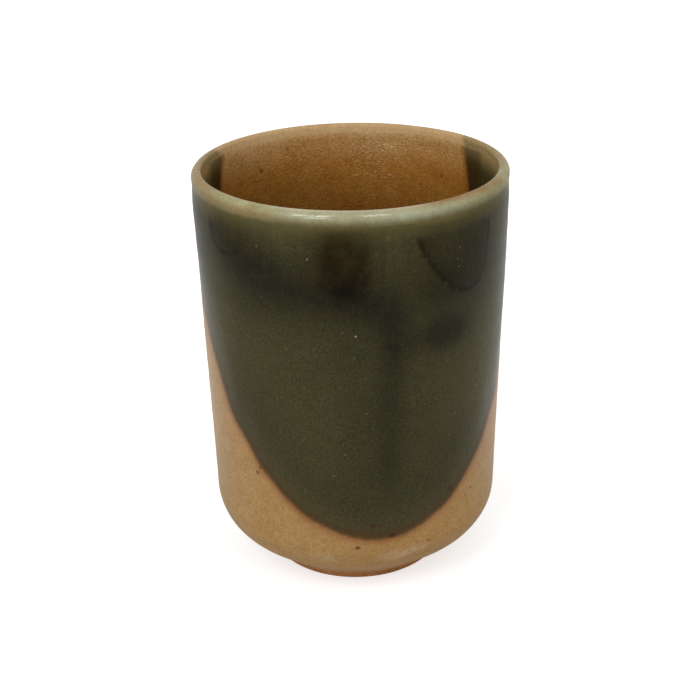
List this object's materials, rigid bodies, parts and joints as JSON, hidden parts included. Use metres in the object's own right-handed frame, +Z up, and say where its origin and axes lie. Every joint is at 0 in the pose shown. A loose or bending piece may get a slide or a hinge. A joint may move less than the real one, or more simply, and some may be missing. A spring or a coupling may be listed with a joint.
{
  "type": "tea cup",
  "caption": "Tall straight-sided yunomi tea cup in stoneware, with a round hip, a low bare foot ring, buff glaze and a tilted dark green dip down one side.",
  "frame": {"origin": "centre of the circle on which the foot ring stands, at the height of the table", "axes": "+Z up along the axis of the cup, -Y towards the green side that faces the viewer, +X to the viewer's right"},
  "size_m": [0.07, 0.07, 0.0955],
  "materials": {
    "body_clay": "matt",
    "foot_clay": "matt, bare fired clay",
    "liner_glaze": "satin, orange peel",
    "buff_glaze": "satin",
    "green_glaze": "glossy",
    "rim_glaze": "glossy, breaking thin over the edge"
  },
  "bodies": {
    "root": {"clay_body": "body_clay", "foot_ring": "foot_clay", "liner_glaze": "liner_glaze", "buff_glaze": "buff_glaze", "green_glaze": "green_glaze", "rim_glaze": "rim_glaze"}
  },
  "joints": []
}
